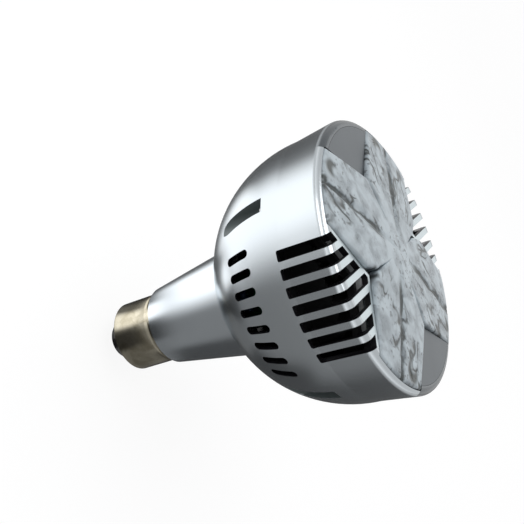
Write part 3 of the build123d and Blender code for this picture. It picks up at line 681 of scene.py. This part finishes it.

# %% [markdown]
# ## Stage
# A plain pale floor lies just under the cap's tip. The camera looks down on it, so the housing's
# upright side mirrors the floor. For every ray but the camera's, the floor glows with painted light
# and painted shade: bright on one side of the lamp and dark on the other and behind it. A bearing
# of 0 points along -Y, the side of the near vent. Bearings are in radians, and the bright side is
# positive. Opposite the near vent lies a narrow painted bright strip, for the views from the sides.
# Close to the lamp the glow has a narrower bright patch, which the cap mirrors. Further off it glows
# evenly, so that other views keep a pale reflection. The camera itself sees the floor white.

# %% Stage
floor_mesh = bpy.data.meshes.new("floor")
half = 8.0
floor_gap = 0.0005
floor_z = cad_box[0][2] - floor_gap
corners = [(x, y, floor_z) for x, y in ((-half, -half), (half, -half), (half, half), (-half, half))]
floor_mesh.from_pydata(corners, [], [(0, 1, 2, 3)])
floor = bpy.data.objects.new("floor", floor_mesh)
scene.collection.objects.link(floor)
floor_glow_base, glow_level, strip_level, far_level = 0.18, 1.25, 0.90, 0.58
shade_drop, far_shade_drop, behind_drop = 0.14, 0.12, 0.11
cap_level, cap_glow_level = 0.14, 1.35
paper_base, paper_seen = (0.14, 0.14, 0.14), (0.90, 0.90, 0.90)
paper_unseen = (0.02, 0.02, 0.02)

paper, paper_shader, place = new_finish("paper")
seen = place.make("ShaderNodeLightPath", output="Is Camera Ray")
x, y = place.part(0), place.part(1)
reach = place.reach(x, y)
# Painted light and painted shade: the floor's glow, seen only in reflections, is bright on one side
# and dark on the other.
bearing = place.math("ARCTAN2", x * -1.0, y * -1.0)
fade = bearing + reach.rise(0.10, 0.16) * 0.35
dimmed = reach.rise(0.044, 0.062) * 0.4 + 0.6
glow = bearing.rise(0.20, 1.10) * (1 - fade.rise(1.85, 2.40)) * dimmed
near_shade = (bearing * -1.0).rise(0.75, 1.20) * (1 - reach.rise(0.12, 0.20))
shade = (reach.rise(0.07, 0.09) * 0.2 - bearing).rise(1.2, 1.85).above(near_shade)
behind = bearing.rise(1.8, 2.4)
near = 1 - reach.rise(0.036, 0.048)
cap_glow = bearing.rise(0.55, 0.90) * (1 - bearing.rise(1.25, 1.65))
cap_dark = 1 - (bearing - 0.12).size().rise(0.25, 0.60)
cap_edge = bearing.size().rise(1.70, 2.30)
cap_rest = (1 - cap_dark * 0.95) * (1 - cap_edge * 0.85) * cap_level
cap_floor_glow = cap_glow * reach.rise(0.014, 0.030) * cap_glow_level + cap_rest
strip = bearing.size().rise(2.88, 3.04)
floor_glow = glow * glow_level + floor_glow_base - shade * shade_drop - behind * behind_drop
floor_glow = floor_glow + strip * strip_level
floor_glow = floor_glow + (cap_floor_glow - floor_glow) * near
far = reach.rise(0.25, 0.50)
floor_glow = floor_glow + (far_level - shade * far_shade_drop - floor_glow) * far
grey = place.make("ShaderNodeCombineColor", {}, {0: floor_glow, 1: floor_glow, 2: floor_glow})
dress(
    paper_shader,
    place.tree,
    Base_Color=seen.between(paper_unseen, paper_base),
    Roughness=1.0,
    Emission_Color=seen.between(grey, paper_seen),
    Emission_Strength=1.0,
)
floor_mesh.materials.append(paper)
print("floor at", round(floor_z, 4), "m")

# %% [markdown]
# ## Light
# Large soft panels light the lamp. One stands overhead and lights the lens. One stands behind the
# lens and is mirrored in the front facets. One stands by the camera and fills the slotted side.

# %% Light
lamp_middle = Vector((0, 0, 0.06))


def soft_panel(name, direction, distance, width, height, brightness):
    """Large rectangular lamp that faces the object; brightness 1 mirrors as white."""
    data = bpy.data.lights.new(name, "AREA")
    data.shape = "RECTANGLE"
    data.size = width
    data.size_y = height
    data.energy = brightness * pi * width * height
    panel = bpy.data.objects.new(name, data)
    panel.location = lamp_middle + direction.normalized() * distance
    panel.rotation_euler = (-direction).to_track_quat("-Z", "Y").to_euler()
    scene.collection.objects.link(panel)


soft_panel("panel_overhead", Vector((-0.3, -0.1, 1.0)), 0.8, 0.6, 0.6, 2.6)
soft_panel("panel_behind", Vector((0.1, 0.88, 0.60)), 0.7, 0.5, 0.35, 0.4)
by_camera = -camera_forward - camera_right * 0.5 + camera_up * 0.8
soft_panel("panel_front", by_camera, 0.8, 0.4, 0.4, 1.5)

world = bpy.data.worlds.new("world")
world.use_nodes = True
scene.world = world
background = world.node_tree.nodes["Background"]
path = world.node_tree.nodes.new("ShaderNodeLightPath")
camera_ray, glossy_ray, clear_ray = [
    Signal(world.node_tree, path.outputs[kind])
    for kind in ("Is Camera Ray", "Is Glossy Ray", "Is Transmission Ray")
]
white = camera_ray.above(glossy_ray).above(clear_ray)
world_light, world_seen = (0.22, 0.22, 0.23), (1.0, 1.0, 1.0)
plug(world.node_tree, background.inputs["Color"], white.between(world_light, world_seen))
